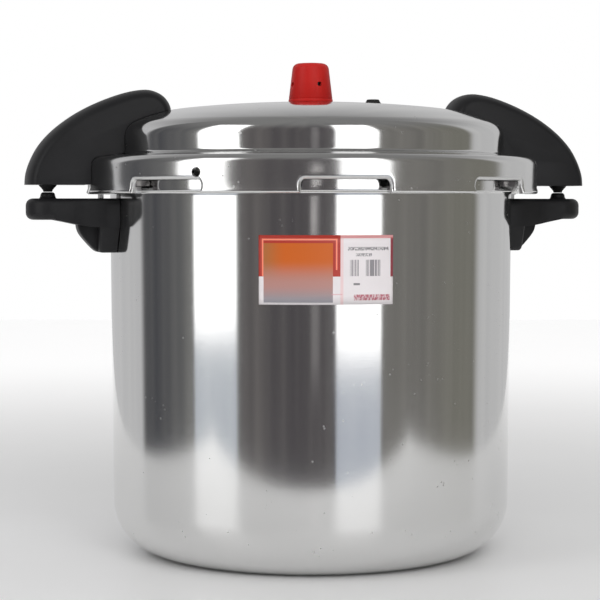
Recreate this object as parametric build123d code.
"""Outer-closing aluminium pressure canner: pot, bayonet lid, handles, weight and rack.

Millimetres, +Z up. The origin is the centre of the base, on the surface it stands on,
the pot's axis is Z, and the handles point along +X and -X.
"""

from build123d import *
import os
from math import cos, radians, sin

# ---------------------------------------------------------------- driving dimensions
SEAT_GAP = 0.15             # gap between fixed pieces that seat on curved faces
MOVING_GAP = 0.3            # gap between faces of pieces that move apart

POT_R_TOP = 152.6           # outer radius under the rim band
POT_R_LOW = 150.8           # outer radius above the bottom corner
POT_CORNER = 40.0
POT_WALL = 3.0
POT_FLOOR = 3.5
BAND_R = 157.8              # rim band, outer radius
BAND_LOW = 273.2
RIM_Z = 292.5

LUG_COUNT = 8
LUG_PITCH = 360 / LUG_COUNT
LID_LUG_SPAN = 24.0         # degrees
POT_LUG_SPAN = 18.0
LUG_PHASE = -73.0           # direction of one locked lug pair, degrees from +X
LID_LUG_IN = 163.2
LID_LUG_LOW = 272.0
LID_LUG_TOP = 276.5
POT_LUG_R = 167.6
POT_LUG_LOW = 277.2
POT_LUG_TOP = 281.7

LID_WALL = 3.0
SKIRT_R = 171.8
SKIRT_WALL = 3.2
SKIRT_LIP_Z = 281.5         # lower edge of the skirt between the lugs
FLARE = 1.6                 # outward flare of the lug's lower edge
SHOULDER_Z = 301.5          # top of the shoulder at the wall's foot
SHOULDER_DROP = 2.2
SHOULDER_FLAT_R = 165.2
SHOULDER_FOOT_Z = 293.0
SHOULDER_UNDER_Z = 296.3    # flat seat for the gasket
DOME_TOP = 341.4
CROWN_R = 935.0
CROWN_END = 6.2             # degrees from the axis where the crown arc ends
HAUNCH_R = 130.0
HAUNCH_END = 24.0
LID_WALL_R = 147.4

STEAM_HOLE_R = 3.5
STEAM_HOLE_Z = 286.4
STEAM_HOLE_DIR = -131.0

GASKET_IN = 147.8
GASKET_OUT = 157.6

LID_HANDLE_W = 42.0
LID_HANDLE_END = 217.4
LID_HANDLE_LOW = 278.7
LID_HANDLE_TIP = 108.0
SCREW_R = 2.4
INSERT_R = 4.0
INSERT_LENGTH = 14.0
LID_SCREW_Z = 308.0
LID_SCREW_OFFSET = 10.0

BODY_HANDLE_TOP = 268.6
BODY_HANDLE_END = 216.8
BODY_HANDLE_LOW = 252.8
GUSSET_LOW = 228.5
GUSSET_WEB = 18.0
GUSSET_BLOCK_END = 164.8
STUD_X = 200.5

STRAP_T = 2.5
STRAP_W = 24.0
SHELF_Z = 259.0
SHELF_END = 198.0
TAB_IN = 159.6
TAB_T = 3.0
TAB_W = 10.0
TAB_TOP = 279.5
RIVET_HEIGHTS = (238.0, 250.0)
HANDLE_SCREW_X = 188.0

PIPE_R = 4.0
PIPE_TOP = 356.0
PIPE_BORE_R = 1.6
WEIGHT_LOW = 341.8
WEIGHT_TOP = 371.4
WEIGHT_BASE_R = 16.9
WEIGHT_TOP_R = 13.6
WEIGHT_ROUND = 4.6
WEIGHT_WALL = 2.2
WEIGHT_HOLE_R = 1.8
WEIGHT_HOLE_Z = 355.2
WEIGHT_HOLE_DIR = -77.5
PLUG_X = 49.3

RACK_R = 136.0
RACK_Z = 20.0
RACK_T = 1.5

LABEL_FROM = -117.3         # degrees from +X
LABEL_SPAN = 35.6
LABEL_LOW = 195.0
LABEL_TOP = 243.0
LABEL_T = 0.2


# ---------------------------------------------------------------- shared helpers
def side_face(edges):
    """The face inside a closed outline of (radius, height) edges, in the XZ plane."""
    return make_face(Plane.XZ * (Curve() + edges))


def turned(edges, start=0.0, span=360.0):
    """Revolve a closed outline of (radius, height) edges about Z."""
    solid = revolve(side_face(edges), Axis.Z, span)
    return Rot(0, 0, start) * solid


def upright(radius, low, top, x=0.0, y=0.0):
    """A vertical cylinder from low to top."""
    height = top - low
    return Pos(x, y, low + height / 2) * Cylinder(radius, height)


def level(radius, near, far, y, z):
    """A cylinder along X from near to far."""
    length = far - near
    return Pos(near + length / 2, y, z) * Rot(0, 90, 0) * Cylinder(radius, length)


def block(x_low, x_top, width, z_low, z_top):
    """A box centred on the XZ plane."""
    size = (x_top - x_low, width, z_top - z_low)
    centre = ((x_top + x_low) / 2, 0, (z_top + z_low) / 2)
    return Pos(*centre) * Box(*size)


def other_side(shape):
    """The same shape turned half a turn about Z, for the handle at -X."""
    return Rot(0, 0, 180) * shape


def pot_radius(z):
    """Outer radius of the pot's slightly tapered wall at height z."""
    share = (z - POT_CORNER) / (BAND_LOW - POT_CORNER)
    return POT_R_LOW + share * (POT_R_TOP - POT_R_LOW)


# ---------------------------------------------------------------- pot
def pot_lugs():
    """Eight outward lugs of the bayonet closure."""
    lugs = []
    for index in range(LUG_COUNT):
        start = LUG_PHASE + index * LUG_PITCH - POT_LUG_SPAN / 2
        outline = Polyline(
            (BAND_R - 1, POT_LUG_LOW),
            (POT_LUG_R, POT_LUG_LOW),
            (POT_LUG_R, POT_LUG_TOP - 1),
            (POT_LUG_R - 1, POT_LUG_TOP),
            (BAND_R - 1, POT_LUG_TOP),
            close=True,
        )
        lugs.append(turned(outline, start, POT_LUG_SPAN))
    return lugs


def rivet_holes(radius):
    """Radial holes for the strap rivets, both sides."""
    holes = []
    for z in RIVET_HEIGHTS:
        hole = level(radius, POT_R_LOW - 10, POT_R_TOP + 10, 0, z)
        holes += [hole, other_side(hole)]
    return holes


def make_pot_body():
    floor_r = POT_R_LOW - POT_CORNER
    inner_corner = POT_CORNER - POT_WALL
    slant = sin(radians(45))
    outer_mid = (floor_r + POT_CORNER * slant, POT_CORNER - POT_CORNER * slant)
    inner_mid = (floor_r + inner_corner * slant, POT_CORNER - inner_corner * slant)
    outline = [
        Line((0, 0), (floor_r, 0)),
        ThreePointArc((floor_r, 0), outer_mid, (POT_R_LOW, POT_CORNER)),
        Polyline(
            (POT_R_LOW, POT_CORNER),
            (POT_R_TOP, BAND_LOW),
            (BAND_R - 0.8, BAND_LOW),
            (BAND_R, BAND_LOW + 0.8),
            (BAND_R, RIM_Z - 1.5),
            (BAND_R - 1.5, RIM_Z),
            (POT_R_TOP - POT_WALL + 0.8, RIM_Z),
            (POT_R_TOP - POT_WALL, RIM_Z - 0.8),
            (POT_R_TOP - POT_WALL, BAND_LOW),
            (POT_R_LOW - POT_WALL, POT_CORNER),
        ),
        ThreePointArc((POT_R_LOW - POT_WALL, POT_CORNER), inner_mid, (floor_r, POT_WALL)),
        Polyline((floor_r, POT_WALL), (floor_r - 4, POT_FLOOR), (0, POT_FLOOR), (0, 0)),
    ]
    pot = turned(outline) + pot_lugs()
    return pot - rivet_holes(SCREW_R + 0.2)


def make_strap(gap=0.0):
    """Strap on the pot wall with a shelf inside the grip and an upright tab.

    A gap makes it that much larger all round, as a cutter for the grip.
    """
    width = STRAP_W + 2 * gap
    back = POT_R_TOP + 0.1
    leg_ring = upright(back + STRAP_T + gap, GUSSET_LOW + 4 - gap, SHELF_Z + STRAP_T)
    leg_ring -= upright(back, 0, RIM_Z)
    leg = leg_ring & block(120, 180, width, 200, 290)
    shelf = block(back + 1, SHELF_END + gap, width, SHELF_Z - gap, SHELF_Z + STRAP_T + gap)
    tab = block(TAB_IN - gap, TAB_IN + TAB_T + gap, TAB_W + 2 * gap, SHELF_Z, TAB_TOP)
    strap = leg + shelf + tab
    if gap == 0.0:
        strap -= upright(SCREW_R + 0.1, SHELF_Z - 1, SHELF_Z + 4, HANDLE_SCREW_X)
        strap -= rivet_holes(SCREW_R + 0.2)
    return strap


def make_strap_rivet(z):
    """Rivet through the pot wall and the strap's leg."""
    inside = POT_R_LOW - POT_WALL - 0.3
    outside = POT_R_TOP + STRAP_T + 0.2
    shank = level(SCREW_R, inside - 0.5, outside + 0.5, 0, z)
    inner_head = level(5.0, inside - 2.0, inside, 0, z)
    outer_head = level(4.5, outside, outside + 1.8, 0, z)
    inner_head = fillet(inner_head.faces().sort_by(Axis.X)[0].edges(), 1.2)
    return shank + inner_head + outer_head


def slope_side():
    """Side outline of the full-width slope under the slab."""
    corner = POT_R_TOP - 6
    inside = BODY_HANDLE_TOP - 7
    return side_face(
        Polyline(
            (corner, inside),
            (197, inside),
            (197, BODY_HANDLE_LOW),
            (179.5, 249.2),
            (170.0, 247.6),
            (corner, 247.0),
            close=True,
        )
    )


def web_side():
    """Side outline of the gusset's middle web."""
    corner = POT_R_TOP - 6
    inside = BODY_HANDLE_TOP - 7
    outline = Polyline(
        (corner, inside),
        (179.3, inside),
        (179.3, 247.0),
        (176.8, 241.4),
        (166.8, GUSSET_LOW + 1.6),
        (161.5, GUSSET_LOW),
        (corner, GUSSET_LOW),
        close=True,
    )
    face = side_face(outline)
    return fillet(face.vertices().filter_by_position(Axis.Z, 229, 248), 4)


def gusset_block():
    """Block behind the web, narrower towards its foot, that meets the pot."""
    half = [
        (26.4, 258.0),
        (26.2, 252.0),
        (24.8, 245.5),
        (22.2, 238.5),
        (19.6, 232.0),
        (15.5, GUSSET_LOW),
    ]
    outline = [*half, *[(-y, z) for y, z in reversed(half)]]
    face = make_face(Plane.YZ * Polyline(*outline, close=True))
    corner = POT_R_TOP - 6
    solid = Pos(corner, 0, 0) * extrude(face, GUSSET_BLOCK_END - corner)
    return fillet(solid.faces().sort_by(Axis.X)[-1].edges(), 2.4)


def body_handle_plan():
    """Plan outline of the grip: wider where it hugs the pot."""
    half_end = 19.0
    half_root = 27.0
    outline = Polyline(
        (POT_R_TOP - 6, half_root),
        (160, half_root),
        (184, half_end),
        (BODY_HANDLE_END, half_end),
        (BODY_HANDLE_END, -half_end),
        (184, -half_end),
        (160, -half_root),
        (POT_R_TOP - 6, -half_root),
        close=True,
    )
    face = make_face(outline)
    face = fillet(face.vertices().group_by(Axis.X)[-1], 18.5)
    return fillet(face.vertices().filter_by_position(Axis.X, 159, 185), 12)


def make_body_handle():
    height = BODY_HANDLE_TOP - BODY_HANDLE_LOW
    slab = Pos(0, 0, BODY_HANDLE_LOW) * extrude(body_handle_plan(), height)
    rims = slab.edges().group_by(Axis.Z)
    slab = fillet(rims[0] + rims[-1], 5.5)
    plan = Pos(0, 0, 200) * extrude(body_handle_plan(), 100)
    grip = slab + (extrude(slope_side(), 30, both=True) & plan)
    grip += extrude(web_side(), GUSSET_WEB / 2, both=True) + gusset_block()
    boss = upright(5.8, BODY_HANDLE_TOP - 1, BODY_HANDLE_TOP + 4.6, STUD_X)
    grip += fillet(boss.faces().sort_by(Axis.Z)[-1].edges(), 3.2)
    grip -= upright(POT_R_TOP + SEAT_GAP, 0, RIM_Z)
    grip -= make_strap(SEAT_GAP)
    grip -= block(150, TAB_IN + TAB_T, TAB_W + 2 * SEAT_GAP, SHELF_Z, 290)
    grip -= block(150, POT_R_TOP + STRAP_T + 3, 12, GUSSET_LOW + 3, SHELF_Z)
    grip -= upright(5.0, 240, 254.6, HANDLE_SCREW_X)
    grip -= upright(SCREW_R + 0.1, 250, 265, HANDLE_SCREW_X)
    return grip


def make_body_handle_screw():
    """Pan-head screw from under the slab into the strap's shelf."""
    head = upright(4.6, 251.6, 254.4, HANDLE_SCREW_X)
    head = fillet(head.faces().sort_by(Axis.Z)[0].edges(), 1.2)
    screw = head + upright(SCREW_R, 254.4, 264.5, HANDLE_SCREW_X)
    slot_x = block(HANDLE_SCREW_X - 2.4, HANDLE_SCREW_X + 2.4, 0.9, 251, 253)
    slot_y = Pos(HANDLE_SCREW_X, 0, 252) * Box(0.9, 4.8, 2)
    return screw - [slot_x, slot_y]


def make_front_label():
    """Thin paper sheet that follows the pot's wall."""
    low = pot_radius(LABEL_LOW) + 0.1
    top = pot_radius(LABEL_TOP) + 0.1
    outline = Polyline(
        (low, LABEL_LOW),
        (low + LABEL_T, LABEL_LOW),
        (top + LABEL_T, LABEL_TOP),
        (top, LABEL_TOP),
        close=True,
    )
    return turned(outline, LABEL_FROM, LABEL_SPAN)


# ---------------------------------------------------------------- gasket
def make_gasket():
    """Sealing ring with a groove in its inner edge."""
    low = RIM_Z + MOVING_GAP
    top = SHOULDER_UNDER_Z - MOVING_GAP
    middle = (low + top) / 2
    outline = Polyline(
        (GASKET_IN, low),
        (GASKET_OUT, low),
        (GASKET_OUT, top),
        (GASKET_IN, top),
        (GASKET_IN, middle + 0.7),
        (GASKET_IN + 4, middle + 0.4),
        (GASKET_IN + 4, middle - 0.4),
        (GASKET_IN, middle - 0.7),
        close=True,
    )
    return turned(outline)


# ---------------------------------------------------------------- lid
def around(centre, radius, degrees):
    """Point on an arc, the angle taken from the vertical."""
    angle = radians(degrees)
    return (centre[0] + radius * sin(angle), centre[1] + radius * cos(angle))


def dome_arcs(inset):
    """Crown, haunch and corner arcs of the dome, moved inwards by inset."""
    crown_centre = (0, DOME_TOP - CROWN_R)
    crown_end = around(crown_centre, CROWN_R, CROWN_END)
    haunch_centre = around(crown_end, -HAUNCH_R, CROWN_END)
    haunch_end = around(haunch_centre, HAUNCH_R, HAUNCH_END)
    corner_r = (LID_WALL_R - haunch_end[0]) / (1 - sin(radians(HAUNCH_END)))
    corner_centre = around(haunch_end, -corner_r, HAUNCH_END)
    arcs = []
    for centre, radius, start, end in (
        (crown_centre, CROWN_R - inset, 0, CROWN_END),
        (haunch_centre, HAUNCH_R - inset, CROWN_END, HAUNCH_END),
        (corner_centre, corner_r - inset, HAUNCH_END, 90),
    ):
        middle = around(centre, radius, (start + end) / 2)
        arcs.append(ThreePointArc(around(centre, radius, start), middle, around(centre, radius, end)))
    return arcs


def outer_shoulder(gap=0.0):
    """Foot of the wall, shoulder and skirt down to the lip's start, grown by gap."""
    wall_end = dome_arcs(-gap)[-1] @ 1
    wall_r = LID_WALL_R + gap
    foot = 2.0
    top = SHOULDER_Z + gap
    flat_end = (SHOULDER_FLAT_R, top - SHOULDER_DROP)
    skirt_r = SKIRT_R + gap
    knee = Vector(skirt_r - 1.95, top - SHOULDER_DROP - 1.85)
    skirt_start = (skirt_r, SHOULDER_FOOT_Z)
    return [
        Line(wall_end, (wall_r, top + foot)),
        RadiusArc((wall_r, top + foot), (wall_r + foot, top), foot),
        Line((wall_r + foot, top), flat_end),
        ThreePointArc(flat_end, knee, skirt_start),
    ]


def lid_envelope(gap):
    """Everything that the lid's outside fills, grown by gap, to seat the handles."""
    top = dome_arcs(-gap)
    skirt = outer_shoulder(gap)
    low = LID_LUG_LOW - 10
    skirt_r = SKIRT_R + gap
    close = Polyline(skirt[-1] @ 1, (skirt_r, low), (0, low), top[0] @ 0)
    return turned([*top, *skirt, close])


def notch_cutters(lip_start, lip_end):
    """Eight cutters that clear the skirt between the lugs and round its lip."""
    reach = SKIRT_R + 8
    low = LID_LUG_LOW - 8
    lip_round = lip_start[1] - lip_end[1]
    outline = [
        Polyline((LID_LUG_IN - 4, low), (reach, low), (reach, lip_start[1]), lip_start),
        RadiusArc(lip_start, lip_end, lip_round),
        Polyline(lip_end, (LID_LUG_IN - 4, lip_end[1]), (LID_LUG_IN - 4, low)),
    ]
    cutters = []
    for index in range(LUG_COUNT):
        start = LUG_PHASE + index * LUG_PITCH + LID_LUG_SPAN / 2
        cutters.append(turned(outline, start, LUG_PITCH - LID_LUG_SPAN))
    return cutters


def make_lid_shell():
    top = dome_arcs(0)
    skirt = outer_shoulder()
    under = dome_arcs(LID_WALL)
    inner_wall = LID_WALL_R - LID_WALL
    inner_skirt = SKIRT_R - SKIRT_WALL
    outline = [
        *top,
        *skirt,
        Polyline(
            skirt[-1] @ 1,
            (SKIRT_R, LID_LUG_LOW + 5.5),
            (SKIRT_R + FLARE, LID_LUG_LOW + 0.8),
            (SKIRT_R + FLARE - 0.6, LID_LUG_LOW),
            (LID_LUG_IN + 0.6, LID_LUG_LOW),
            (LID_LUG_IN, LID_LUG_LOW + 0.6),
            (LID_LUG_IN, LID_LUG_TOP),
            (inner_skirt, LID_LUG_TOP),
            (inner_skirt, SHOULDER_UNDER_Z - 3),
            (inner_skirt - 3, SHOULDER_UNDER_Z),
            (inner_wall, SHOULDER_UNDER_Z),
            under[-1] @ 1,
        ),
        *under,
        Line(under[0] @ 0, top[0] @ 0),
    ]
    lip_round = SKIRT_WALL - 0.6
    lip_start = (SKIRT_R, SKIRT_LIP_Z + lip_round)
    lip_end = (SKIRT_R - lip_round, SKIRT_LIP_Z)
    lid = turned(outline) - notch_cutters(lip_start, lip_end)
    lid -= upright(PIPE_R + 0.2, 330, 345)
    lid -= upright(5.0, 330, 345, PLUG_X)
    steam_hole = level(STEAM_HOLE_R, SKIRT_R - 12, SKIRT_R + 5, 0, STEAM_HOLE_Z)
    lid -= Rot(0, 0, STEAM_HOLE_DIR) * steam_hole
    for y in (-LID_SCREW_OFFSET, LID_SCREW_OFFSET):
        hole = level(SCREW_R + 0.2, 135, 155, y, LID_SCREW_Z)
        lid -= [hole, other_side(hole)]
    return lid


def make_lid_handle():
    """Fin-shaped handle that sits on the skirt, the shoulder and the dome."""
    tip = (LID_HANDLE_TIP, 330.0)
    heel = (LID_HANDLE_END, LID_HANDLE_LOW)
    back = Spline(
        heel,
        (204.5, 311.0),
        (158.0, 341.8),
        (128.0, 349.2),
        tip,
        tangents=((0, 1), (-0.1, -1)),
    )
    seat = Polyline(
        tip,
        (LID_HANDLE_TIP, 300.0),
        (LID_WALL_R - 10, 295.0),
        (LID_WALL_R - 10, LID_HANDLE_LOW),
        heel,
    )
    outline = [back, seat]
    face = side_face(outline)
    fin = extrude(face, LID_HANDLE_W / 2, both=True)
    fin = fillet(fin.edges().filter_by(GeomType.BSPLINE), 7.5)
    fin -= lid_envelope(SEAT_GAP)
    fin -= upright(3.6, LID_HANDLE_LOW - 1, LID_HANDLE_LOW + 6.1, STUD_X)
    for y in (-LID_SCREW_OFFSET, LID_SCREW_OFFSET):
        fin -= level(INSERT_R + 0.05, 140, 149 + INSERT_LENGTH, y, LID_SCREW_Z)
    return fin


def make_lid_insert(y):
    bush = level(INSERT_R, 148.4, 148.4 + INSERT_LENGTH, y, LID_SCREW_Z)
    return bush - level(SCREW_R + 0.1, 148, 148.4 + INSERT_LENGTH - 2, y, LID_SCREW_Z)


def make_lid_screw(y):
    head = level(4.4, 139.6, 142.3, y, LID_SCREW_Z)
    head = fillet(head.faces().sort_by(Axis.X)[0].edges(), 1.2)
    slot = Pos(140, y, LID_SCREW_Z) * Box(1.6, 5.5, 0.9)
    return head + level(SCREW_R, 142.3, 159.5, y, LID_SCREW_Z) - slot


def make_lid_washer(y):
    ring = level(5.2, 142.35, 143.35, y, LID_SCREW_Z)
    return ring - level(SCREW_R + 0.2, 140, 150, y, LID_SCREW_Z)


def make_stud():
    """Rubber stud pressed into the underside of a lid handle."""
    low = BODY_HANDLE_TOP + 4.6 + MOVING_GAP
    outline = Polyline(
        (0, low),
        (3.4, low),
        (4.2, low + 1.2),
        (7.2, LID_HANDLE_LOW - 0.1),
        (3.5, LID_HANDLE_LOW - 0.1),
        (3.5, LID_HANDLE_LOW + 6),
        (0, LID_HANDLE_LOW + 6),
        close=True,
    )
    return Pos(STUD_X, 0, 0) * turned(outline)


# ---------------------------------------------------------------- vent pipe and plug
def hexagon(across_flats, low, top):
    face = RegularPolygon(across_flats / 2, 6, major_radius=False)
    return Pos(0, 0, low) * extrude(face, top - low)


def make_vent_pipe():
    """Threaded pipe with a hexagon flange above the lid."""
    flange_low = DOME_TOP + 0.05
    pipe = upright(PIPE_R, 328, PIPE_TOP) + hexagon(14, flange_low, flange_low + 3)
    pipe = chamfer(pipe.edges().group_by(Axis.Z)[-1], 1.5)
    return pipe - upright(PIPE_BORE_R, 320, 360)


def make_vent_washer():
    top = DOME_TOP - LID_WALL - 0.1
    return upright(8.5, top - 1.5, top) - upright(PIPE_R + 0.1, 320, 345)


def make_vent_nut():
    top = DOME_TOP - LID_WALL - 1.7
    return hexagon(13, top - 4.5, top) - upright(PIPE_R + 0.05, 320, 345)


def make_safety_plug():
    """Rubber plug that lets go when the vent pipe is blocked."""
    seat = 340.6
    under = 336.4
    outline = Polyline(
        (0, seat + 4.1),
        (3.4, seat + 4.1),
        (4.9, seat + 3.4),
        (6.9, seat + 0.8),
        (6.9, seat),
        (4.9, seat),
        (4.9, under),
        (6.6, under),
        (5.6, under - 2.6),
        (0, under - 2.6),
        close=True,
    )
    return Pos(PLUG_X, 0, 0) * turned(outline)


# ---------------------------------------------------------------- regulator weight
def make_weight_shell():
    """Tapered cap, rounded at the top, with four steam holes."""
    low = WEIGHT_LOW + 2.6
    height = WEIGHT_TOP - low
    outer = Pos(0, 0, low + height / 2) * Cone(WEIGHT_BASE_R - 0.3, WEIGHT_TOP_R, height)
    outer = fillet(outer.faces().sort_by(Axis.Z)[-1].edges(), WEIGHT_ROUND)
    cavity_height = height - WEIGHT_WALL
    cavity = Pos(0, 0, low + cavity_height / 2) * Cone(
        WEIGHT_BASE_R - WEIGHT_WALL - 0.3, WEIGHT_TOP_R - WEIGHT_WALL, cavity_height
    )
    shell = outer - cavity
    for quarter in range(4):
        hole = level(WEIGHT_HOLE_R, 8, 20, 0, WEIGHT_HOLE_Z)
        shell -= Rot(0, 0, WEIGHT_HOLE_DIR + quarter * 90) * hole
    return shell


def make_weight_ring():
    """Closing ring pressed into the shell's mouth."""
    seam = WEIGHT_LOW + 2.5
    outline = Polyline(
        (WEIGHT_BASE_R - 3.4, WEIGHT_LOW),
        (WEIGHT_BASE_R - 0.4, WEIGHT_LOW),
        (WEIGHT_BASE_R, WEIGHT_LOW + 0.4),
        (WEIGHT_BASE_R, seam),
        (WEIGHT_BASE_R - 2.8, seam),
        (WEIGHT_BASE_R - 2.8, seam + 2.4),
        (WEIGHT_BASE_R - 4.4, seam + 2.4),
        (WEIGHT_BASE_R - 4.4, WEIGHT_LOW + 1),
        close=True,
    )
    return turned(outline)


def make_weight_core():
    """Metal core with a blind bore that drops over the vent pipe."""
    top = WEIGHT_TOP - WEIGHT_WALL - 0.2
    low = PIPE_TOP - 5
    outline = Polyline(
        (PIPE_R + MOVING_GAP, low),
        (10.6, low),
        (10.6, top),
        (0, top),
        (0, PIPE_TOP + 2.2),
        (PIPE_R + MOVING_GAP, PIPE_TOP + MOVING_GAP),
        close=True,
    )
    return turned(outline)


# ---------------------------------------------------------------- rack
def make_rack():
    """Perforated plate on four hollow feet, with a turned-down edge."""
    plate = upright(RACK_R, RACK_Z, RACK_Z + RACK_T)
    rim = upright(RACK_R, RACK_Z - 3, RACK_Z) - upright(RACK_R - RACK_T, 0, 40)
    rack = plate + rim
    foot_low = POT_FLOOR + MOVING_GAP
    foot_height = RACK_Z - foot_low
    for quarter in range(4):
        turn = Rot(0, 0, 45 + quarter * 90)
        foot = Pos(88, 0, foot_low + foot_height / 2) * Cone(7, 11, foot_height)
        hollow = Pos(88, 0, RACK_Z) * Cone(3.5, 8, 2 * (foot_height - RACK_T))
        rack += turn * foot
        rack -= turn * hollow
    rack -= upright(15, 0, 40)
    for radius, count, hole_r, phase in ((50, 8, 7, 0), (88, 8, 8, 22.5), (116, 16, 8, 11.25)):
        for index in range(count):
            hole = upright(hole_r, RACK_Z - 1, 40, radius)
            rack -= Rot(0, 0, phase + index * 360 / count) * hole
    return rack


# ---------------------------------------------------------------- write the nodes
def pair(shape):
    """The shape and its twin at the other handle."""
    return [shape, other_side(shape)]


def group(shapes):
    return Compound(children=shapes)


def both_sides(maker, places):
    """One solid for each place at each handle."""
    return group([solid for place in places for solid in pair(maker(place))])


def make_nodes():
    strap = make_strap()
    body_handle = make_body_handle()
    lid_handle = make_lid_handle()
    screw_rows = (-LID_SCREW_OFFSET, LID_SCREW_OFFSET)
    return {
        "pot_body": make_pot_body(),
        "right_body_bracket": strap,
        "left_body_bracket": other_side(strap),
        "body_bracket_rivets": both_sides(make_strap_rivet, RIVET_HEIGHTS),
        "right_body_handle": body_handle,
        "left_body_handle": other_side(body_handle),
        "body_handle_screws": group(pair(make_body_handle_screw())),
        "front_label": make_front_label(),
        "sealing_gasket": make_gasket(),
        "lid_shell": make_lid_shell(),
        "right_lid_handle": lid_handle,
        "left_lid_handle": other_side(lid_handle),
        "lid_handle_inserts": both_sides(make_lid_insert, screw_rows),
        "lid_handle_screws": both_sides(make_lid_screw, screw_rows),
        "lid_handle_washers": both_sides(make_lid_washer, screw_rows),
        "lid_handle_studs": group(pair(make_stud())),
        "vent_pipe": make_vent_pipe(),
        "vent_pipe_washer": make_vent_washer(),
        "vent_pipe_nut": make_vent_nut(),
        "safety_plug": make_safety_plug(),
        "weight_shell": make_weight_shell(),
        "weight_base_ring": make_weight_ring(),
        "weight_core": make_weight_core(),
        "canning_rack": make_rack(),
    }


os.makedirs("parts", exist_ok=True)
for name, shape in make_nodes().items():
    export_step(shape, f"parts/{name}.step")
